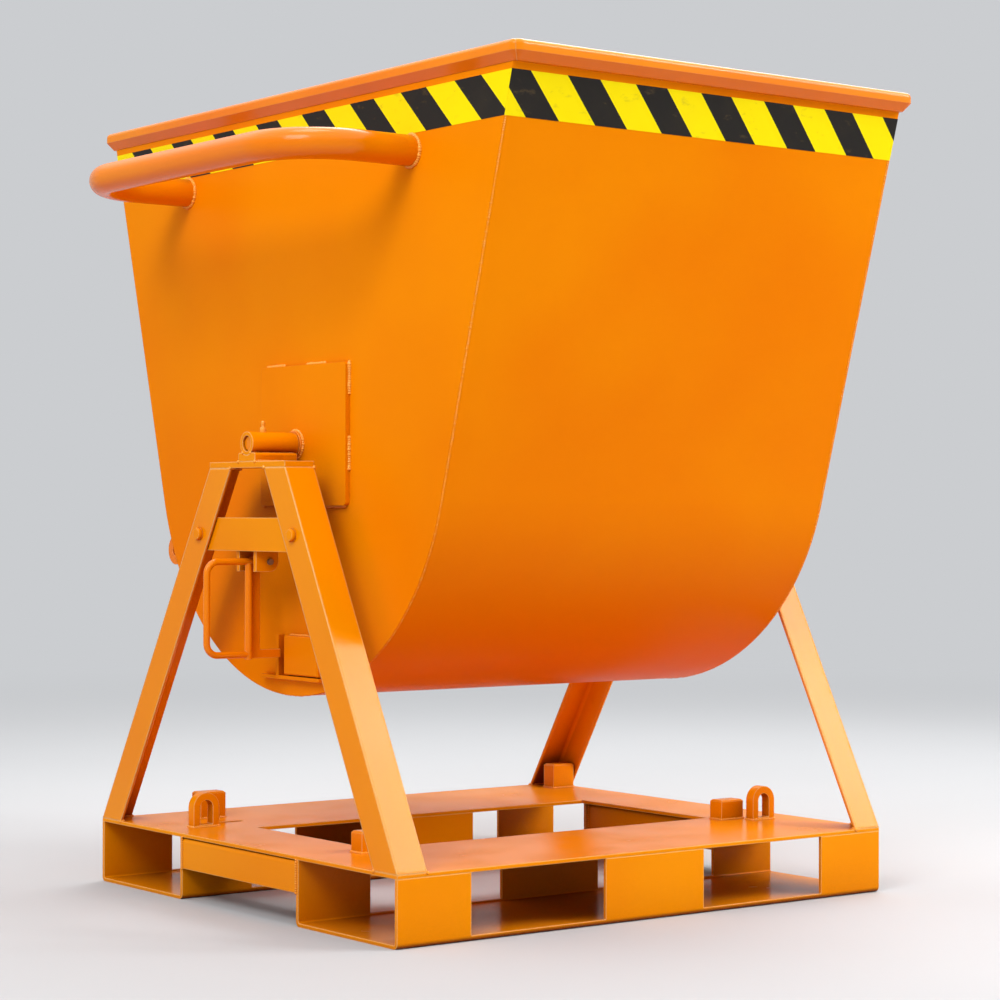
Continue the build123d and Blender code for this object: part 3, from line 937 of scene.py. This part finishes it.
@dataclass
class Base:
    """The base of two open channels and a deck, with its A-frames, bearings and crossbars."""

    leg_flange: float = 0.055
    leg_wall: float = 0.006
    bolt_flats: float = 0.019
    bolt_head: float = 0.0075
    bolt_diameter: float = 0.012
    bolt_grip: float = 0.012
    bolt_tail: float = 0.003
    bolt_sink: float = 0.0005
    bolt_chamfer: float = 0.14
    tail_chamfer: float = 0.2
    nut_height: float = 0.010
    nipple_inset: float = 0.031
    nipple_flats: float = 0.010
    nipple_neck: float = 0.0055
    nipple_height: float = 0.018
    nipple_sink: float = 0.001
    lug_size: Pair = (0.050, 0.018)
    block_size: Pair = (0.050, 0.030)
    block_places: tuple[Pair, ...] = (
        (-0.378, -0.199), (0.378, -0.199), (-0.345, 0.350), (0.466, 0.385),
    )
    deck_bead: float = 0.003
    leg_foot_bead: float = 0.0034
    leg_top_bead: float = 0.003
    saddle_bead: float = 0.0028
    seat_bead: float = 0.0026
    cross_bead: float = 0.0026

    def __post_init__(self) -> None:
        """Reads the places that the welds and bolts follow."""
        self.deck = Box.of("deck_plate")
        self.apex = Box.of("apex_plate_near")
        self.saddle = Box.of("saddle_near")
        self.tube = Box.of("bearing_tube_near")
        self.cross = Box.of("cross_member_near")
        self.crossbar = Box.of("crossbar_near")

    def lean(self, side: Side) -> float:
        """Angle from upright of the legs on one side."""
        apex_heel = self.apex.low.y if side is Side.FRONT else self.apex.high.y
        return math.atan2(self.deck.half.y - side * apex_heel, self.apex.low.z - self.deck.high.z)

    def heel(self, side: Side, height: float) -> float:
        """Y of a leg's outer corner line at a height."""
        return side * (self.deck.half.y - (height - self.deck.high.z) * math.tan(self.lean(side)))

    def foot_line(self, end: End, side: Side, height: float) -> tuple[Point, ...]:
        """Inner edge of a leg where a level plane cuts it.

        Args:
            end: end of the base that the leg stands at.
            side: side that it stands at.
            height: height of the plane.

        Returns:
            The points from one toe of the angle to the other.
        """
        heel = self.heel(side, height)
        wide = heel - side * self.leg_flange / math.cos(self.lean(side))
        thin = heel - side * self.leg_wall / math.cos(self.lean(side))
        outer_x = end * self.deck.half.x
        toe_x = outer_x - end * self.leg_flange
        wall_x = outer_x - end * self.leg_wall
        corners = ((toe_x, heel), (toe_x, thin), (wall_x, thin), (wall_x, wide), (outer_x, wide))
        return tuple((x, y, height) for x, y in corners)

    def box_line(self, place: Pair, size: Pair) -> tuple[Point, ...]:
        """Outline of a small piece's foot on the deck.

        Args:
            place: its middle.
            size: its length and width.

        Returns:
            The closed outline.
        """
        corners = ((-1, -1), (1, -1), (1, 1), (-1, 1), (-1, -1))
        return tuple(
            (place[0] + x * size[0] / 2, place[1] + y * size[1] / 2, self.deck.high.z) for x, y in corners
        )

    def deck_feet(self) -> Iterator[tuple[Point, ...]]:
        """Outlines of the lashing lugs' and stop blocks' feet.

        Returns:
            One closed outline each.
        """
        lugs, (length, width) = Box.of("lashing_lugs"), self.lug_size
        yield self.box_line((lugs.low.x + length / 2, lugs.high.y - width / 2), self.lug_size)
        yield self.box_line((lugs.high.x - length / 2, lugs.low.y + width / 2), self.lug_size)
        for place in self.block_places:
            yield self.box_line(place, self.block_size)

    def welds(self) -> list[WeldRun]:
        """Lists the base's lines of weld.

        Returns:
            Those round the feet on the deck, then those of each leg with its saddle and cross member.
        """
        runs = [WeldRun(outline, self.deck_bead) for outline in self.deck_feet()]
        axis_y, axis_z = self.tube.middle.y, self.tube.middle.z
        seat = math.sqrt(self.tube.half.z**2 - (axis_z - self.saddle.high.z) ** 2)
        for end in End:
            outer = end * self.deck.half.x
            leg_toe = outer - end * self.leg_flange
            saddle_end = outer - end * 2 * self.saddle.half.x
            cross_inner = outer - end * 2 * self.cross.half.x
            for side in Side:
                runs.append(WeldRun(self.foot_line(end, side, self.deck.high.z), self.leg_foot_bead))
                runs.append(WeldRun(self.foot_line(end, side, self.apex.low.z), self.leg_top_bead))
                for reach, y, z, bead in (
                    (leg_toe, axis_y + side * self.saddle.half.y, self.apex.high.z, self.saddle_bead),
                    (saddle_end, axis_y + side * seat, self.saddle.high.z, self.seat_bead),
                ):
                    runs.append(WeldRun(((reach, y, z), (outer, y, z)), bead))
                wall_y = side * self.cross.half.y
                for face in (outer, cross_inner):
                    upright = ((face, wall_y, self.cross.low.z), (face, wall_y, self.cross.high.z))
                    runs.append(WeldRun(upright, self.cross_bead))
        return runs

    def fasteners(self) -> bpy.types.Object:
        """Makes the four crossbar bolts with their nuts, chamfered, in place of the plain ones.

        Returns:
            The bolts and nuts as one mesh.
        """
        tree = FittingTree("crossbar_bolt", {
            "Across Flats": self.bolt_flats, "Head Height": self.bolt_head,
            "Shank Diameter": self.bolt_diameter, "Grip": self.bolt_grip,
            "Nut Height": self.nut_height, "Tail": self.bolt_tail,
        })
        corner = tree.given("Across Flats") / math.sqrt(3)
        shank = tree.given("Shank Diameter") / 2
        nut_foot = tree.given("Grip") * -1
        nut_face = nut_foot - tree.given("Nut Height")
        bolt = tree.join(
            tree.turned(6, corner, 0.0, tree.given("Head Height"), self.bolt_chamfer),
            tree.turned(6, corner, nut_foot, nut_face, self.bolt_chamfer),
            tree.turned(16, shank, -self.bolt_sink, nut_face - tree.given("Tail"), self.tail_chamfer),
        )
        height = self.crossbar.middle.z
        points, facing = [], []
        for end in End:
            for side in Side:
                flange_middle = side * self.leg_flange / 2 / math.cos(self.lean(side))
                points.append((end * self.deck.half.x, self.heel(side, height) - flange_middle, height))
                facing.append((float(end), 0.0, 0.0))
        return tree.place(bolt, LIGHTER_BASE_PAINT, points, facing)

    def grease_nipples(self) -> bpy.types.Object:
        """Makes the grease nipple on top of each bearing tube.

        Returns:
            The two nipples as one mesh.
        """
        tree = FittingTree("grease_nipple", {
            "Across Flats": self.nipple_flats, "Neck Diameter": self.nipple_neck,
            "Height": self.nipple_height,
        })
        corner = tree.given("Across Flats") / math.sqrt(3)
        neck = tree.given("Neck Diameter") / 2
        height = tree.given("Height")
        # Hexagon, neck and head, which overlap a little; their heights are shares of the whole.
        nipple = tree.join(
            tree.turned(6, corner, -self.nipple_sink, height * 0.4, 0.12),
            tree.turned(12, neck, height * 0.35, height * 0.75, 0.3),
            tree.turned(12, neck * 1.15, height * 0.7, height, 0.45),
        )
        reach = self.deck.half.x - self.nipple_inset
        points = [(end * reach, self.tube.middle.y, self.tube.high.z) for end in End]
        # The nipples wear the pale weld paint, a painted highlight.
        return tree.place(nipple, WELD_HIGHLIGHT_PAINT, points, [(0.0, 0.0, 1.0)] * len(points))

    def build(self, shop: WeldShop) -> None:
        """Dresses the base's nodes and adds its bolts, grease nipples and welds.

        Args:
            shop: makes the welds.
        """
        dress(
            LIGHTER_BASE_PAINT, "fork_channel_front", "fork_channel_rear", "lashing_lugs", "stop_blocks",
            "latch_lugs", *both_ends("cross_member", "apex_plate", "saddle", "bearing_tube", "crossbar"),
        )
        dress(DECK_PAINT, "deck_plate")
        dress(LEG_PAINT, *(f"{leg}_{side.name.lower()}" for leg in both_ends("leg") for side in Side))
        dress(PIN_STEEL, "latch_pin")
        settle(self.fasteners(), Body.BASE, "crossbar_bolts", "crossbar_nuts")
        settle(self.grease_nipples(), Body.BASE)
        settle(shop.lay("weld_beads_base", self.welds()), Body.BASE)


@dataclass
class Bucket:
    """The round-bottomed bucket with its rim, doublers, handle and tape."""

    sheet: float = 0.005
    radius: float = 0.430
    long_edge: float = -0.2612
    long_period: float = 0.1314
    short_edge: float = 0.4830
    short_period: float = 0.1406
    seam_inset: Pair = (0.0026, 0.0018)
    seam_bead: float = 0.0026
    corner_reach: float = 0.001
    corner_bead: float = 0.0036
    rim_gap: float = 0.004
    doubler_stitch: float = 0.050
    doubler_bead: float = 0.0042
    collar_bead: float = 0.0034
    handle_bead: float = 0.0042
    strike_bead: float = 0.0028
    eye_chord: float = 0.0212
    eye_bead: float = 0.003

    def __post_init__(self) -> None:
        """Reads the places that the welds and stripes follow."""
        trough = Box.of("trough_sheet")
        self.half_mouth, self.rim = trough.half.y, trough.high.z
        self.arc_centre = trough.low.z + self.radius
        self.half_length = Box.of("end_plate_far").high.x
        self.doubler = Box.of("doubler_near")
        self.collars = Box.of("thrust_collars")
        self.handle = Box.of("tilt_handle")
        self.eye = Box.of("tipping_eye")
        self.tape = Box.of("hazard_tape_near")
        self.strike = Box.of("strike_box")
        self.ledge = Box.of("strike_ledge")

    @property
    def wall_angle(self) -> float:
        """Angle of the straight walls from upright."""
        rise = self.rim - self.arc_centre
        return math.acos(self.radius / math.hypot(self.half_mouth, rise)) - math.atan2(rise, self.half_mouth)

    def wall(self, height: float) -> float:
        """Distance of the straight wall's outer face from the middle plane at a height."""
        return self.half_mouth - (self.rim - height) * math.tan(self.wall_angle)

    def outline(self, x: float, inset: float, top: float, steps: int = 48) -> tuple[Point, ...]:
        """Cross-section line of the trough, from the front rim round the bottom to the rear rim.

        Args:
            x: place along the trunnion axis.
            inset: how far inside the outer face the line runs.
            top: height at which it starts and ends.
            steps: parts of the round bottom.

        Returns:
            The points of the line.
        """
        angle, radius = self.wall_angle, self.radius - inset
        high_y = self.wall(top) - inset / math.cos(angle)
        turns = [math.pi + angle + (math.pi - 2 * angle) * index / steps for index in range(steps + 1)]
        arc = [(x, radius * math.cos(turn), self.arc_centre + radius * math.sin(turn)) for turn in turns]
        return ((x, -high_y, top), *arc, (x, high_y, top))

    def tapes(self) -> dict[str, HazardTape]:
        """Finishes of the four strips.

        Returns:
            The finish of each node.
        """
        height = self.tape.middle.z
        long = (self.long_edge, height, self.long_period)
        short = (self.short_edge, height, self.short_period)
        return {
            "hazard_tape_near": HazardTape("tape_near", (0, -1, 0), *short),
            "hazard_tape_front": HazardTape("tape_front", (1, 0, 0), *long),
            "hazard_tape_far": HazardTape("tape_far", (0, 1, 0), *short),
            "hazard_tape_rear": HazardTape("tape_rear", (-1, 0, 0), *long),
        }

    def end_welds(self, end: End) -> Iterator[WeldRun]:
        """Lists the lines of weld at one end.

        Args:
            end: which end.

        Returns:
            The outer seam, the inner corner, the doubler's stitches and the ring round the collar.
        """
        face = end * self.half_length
        depth, inset = self.seam_inset
        yield WeldRun(self.outline(face - end * depth, inset, self.tape.low.z), self.seam_bead)
        inner = self.sheet + self.corner_reach
        yield WeldRun(self.outline(face - end * inner, inner, self.rim - self.rim_gap), self.corner_bead)
        low, high, half = self.doubler.low, self.doubler.high, self.doubler.half
        corners = ((low.y, high.z), (low.y, low.z), (high.y, low.z), (high.y, high.z), (low.y, high.z))
        gap = (half.y + half.z) / 2 - self.doubler_stitch
        edge = tuple((face, y, z) for y, z in corners)
        yield WeldRun(edge, self.doubler_bead, self.doubler_stitch, gap)
        collar = (end * -self.doubler.low.x, self.collars.middle.y, self.collars.middle.z)
        yield WeldRun(ring(collar, self.collars.half.z), self.collar_bead)

    def handle_welds(self) -> Iterator[WeldRun]:
        """Lists the welds of the tilt handle.

        Returns:
            A ring round each of its two roots.
        """
        pipe = self.handle.half.z
        for side in Side:
            root = (-self.half_length, side * (self.handle.half.y - pipe), self.handle.middle.z)
            yield WeldRun(ring(root, pipe, count=36), self.handle_bead)

    def strike_welds(self) -> Iterator[WeldRun]:
        """Lists the welds of the latch strike.

        Returns:
            The line round the strike block and the one under its ledge.
        """
        low, high = self.strike.low, self.strike.high
        corners = ((low.y, low.z), (low.y, high.z), (high.y, high.z), (high.y, low.z))
        yield WeldRun(tuple((high.x, y, z) for y, z in corners), self.strike_bead)
        low, high = self.ledge.low, self.ledge.high
        yield WeldRun(((high.x, low.y, low.z), (high.x, high.y, low.z)), self.strike_bead)

    def eye_welds(self) -> Iterator[WeldRun]:
        """Lists the welds of the tipping eye.

        Returns:
            A line on the round bottom along each of the eye's faces.
        """
        half_steps = 4
        middle = math.asin((self.arc_centre - self.eye.middle.z) / self.radius)
        reach = self.eye_chord / self.radius
        turns = [middle + reach * (index / half_steps - 1) for index in range(2 * half_steps + 1)]
        for face in (self.eye.low.x, self.eye.high.x):
            arc = ((self.radius * math.cos(turn), self.radius * math.sin(turn)) for turn in turns)
            yield WeldRun(tuple((face, y, self.arc_centre - drop) for y, drop in arc), self.eye_bead)

    def welds(self) -> list[WeldRun]:
        """Lists the bucket's lines of weld."""
        ends = (run for end in End for run in self.end_welds(end))
        return [*ends, *self.handle_welds(), *self.strike_welds(), *self.eye_welds()]

    def build(self, shop: WeldShop) -> None:
        """Dresses the bucket's nodes and adds its welds.

        Args:
            shop: makes the welds.
        """
        dress(SHEET_PAINT, "trough_sheet", "strike_box", "strike_ledge", *both_ends("end_plate", "doubler"))
        dress(
            FITTING_PAINT, "rim_rail_front", "rim_rail_rear", "thrust_collars", "tilt_handle", "tipping_eye",
            *both_ends("rim_rail", "trunnion_pin"),
        )
        for node, tape in self.tapes().items():
            dress(tape, node)
        settle(shop.lay("weld_beads_bucket", self.welds()), Body.BUCKET)


@dataclass
class Latch:
    """The latch lever under the near crossbar."""

    nodes: tuple[str, ...] = ("latch_hub", "latch_handle", "latch_tongue")

    def build(self) -> None:
        """Dresses the latch's nodes."""
        dress(FITTING_PAINT, *self.nodes)


@dataclass(frozen=True)
class Softbox:
    """A soft rectangular lamp that looks at the bucket."""

    name: str
    place: Point
    size: Pair
    watts: float
    aim: Point = (0.0, 0.0, 0.7)

    def hang(self) -> None:
        """Adds the lamp to the scene."""
        data = bpy.data.lights.new(self.name, "AREA")
        data.shape = "RECTANGLE"
        data.size, data.size_y = self.size
        data.energy = self.watts
        lamp = linked(self.name, data)
        lamp.location = self.place
        look = Vector(self.aim) - Vector(self.place)
        lamp.rotation_euler = look.to_track_quat("-Z", "Y").to_euler()


@dataclass
class Studio:
    """Floor, soft light and the camera at the photograph's angle."""

    image_size: float = 1000.0
    focal_pixels: float = 2591.1
    camera_place: Point = (-2.6839, -3.5822, 0.6438)
    yaw: float = 37.138
    pitch: float = 0.294
    roll: float = 0.127
    sensor: float = 36.0
    floor_half: float = 60.0
    sky: Rgb = (203, 205, 208)
    sky_light: float = 0.5
    ceiling_light: float = 0.68
    ceiling_shine: float = 2.2
    ceiling_rise: Pair = (0.35, 0.7)
    lamps: tuple[Softbox, ...] = (
        Softbox("key_softbox", (3.3, -3.0, 3.35), (2.2, 2.2), 80.0),
        Softbox("near_leg_strip", (2.5, -3.3, 3.35), (0.9, 1.2), 42.0),
        Softbox("far_leg_strip", (4.05, -2.9, 3.1), (0.9, 1.2), 42.0),
        Softbox("fill_softbox", (-4.2, -2.2, 4.2), (2.4, 2.4), 172.0),
        Softbox("top_softbox", (-0.7, -0.1, 4.8), (1.4, 1.4), 46.0),
        Softbox("back_softbox", (2.4, 1.6, 3.9), (3.0, 3.0), 110.0),
    )

    def camera(self) -> None:
        """Places the camera."""
        yaw, pitch, roll = (math.radians(angle) for angle in (self.yaw, self.pitch, self.roll))
        forward = Vector((
            math.sin(yaw) * math.cos(pitch), math.cos(yaw) * math.cos(pitch), math.sin(pitch),
        ))
        right = Vector((math.cos(yaw), -math.sin(yaw), 0.0))
        up = right.cross(forward)
        rolled_right = math.cos(roll) * right + math.sin(roll) * up
        rolled_up = math.cos(roll) * up - math.sin(roll) * right
        data = bpy.data.cameras.new("camera")
        data.sensor_width = self.sensor
        data.lens = self.focal_pixels * self.sensor / self.image_size
        camera = linked("camera", data)
        turn = Matrix((rolled_right, rolled_up, -forward)).transposed().to_4x4()
        camera.matrix_world = Matrix.Translation(self.camera_place) @ turn
        bpy.context.scene.camera = camera

    def floor(self) -> None:
        """Lays the pale floor."""
        half = self.floor_half
        corners = [(-half, -half, 0.0), (half, -half, 0.0), (half, half, 0.0), (-half, half, 0.0)]
        mesh = bpy.data.meshes.new("floor")
        mesh.from_pydata(corners, [], [(0, 1, 2, 3)])
        mesh.materials.append(made(PaleFloor(self.sky)))
        linked("floor", mesh)

    def world(self) -> None:
        """Sets a pale surround with a brighter ceiling, which also lights the object."""
        world = bpy.data.worlds.new("surround")
        world.use_nodes = True
        bpy.context.scene.world = world
        graph = Graph(world.node_tree)
        graph.tree.nodes.clear()
        rise = graph.axis(graph.node("ShaderNodeTexCoord", {}, {}, "Generated"), "Z")
        overhead = graph.step(rise, *self.ceiling_rise)
        white = (1.0, 1.0, 1.0, 1.0)

        def glow(colour: tuple[float, ...], strength: float) -> Signal:
            """A background of one colour."""
            return graph.node("ShaderNodeBackground", {}, {"Color": colour, "Strength": strength})

        light = graph.blend(overhead, glow(white, self.sky_light), glow(white, self.ceiling_light))
        shown = graph.blend(overhead, glow(linear(self.sky), 1.0), glow(white, self.ceiling_shine))
        graph.add("ShaderNodeOutputWorld", {}, {"Surface": graph.blend(graph.seen(), light, shown)})

    def build(self) -> None:
        """Sets up the whole studio."""
        self.floor()
        self.world()
        for lamp in self.lamps:
            lamp.hang()
        self.camera()
        bpy.context.scene.view_settings.view_transform = "Standard"


def main() -> None:
    """Builds every sub-assembly's looks, then the studio."""
    logging.basicConfig(level=logging.INFO, format="%(message)s")
    shop = WeldShop()
    Base().build(shop)
    Bucket().build(shop)
    Latch().build()
    Studio().build()


if __name__ == "__main__":
    main()
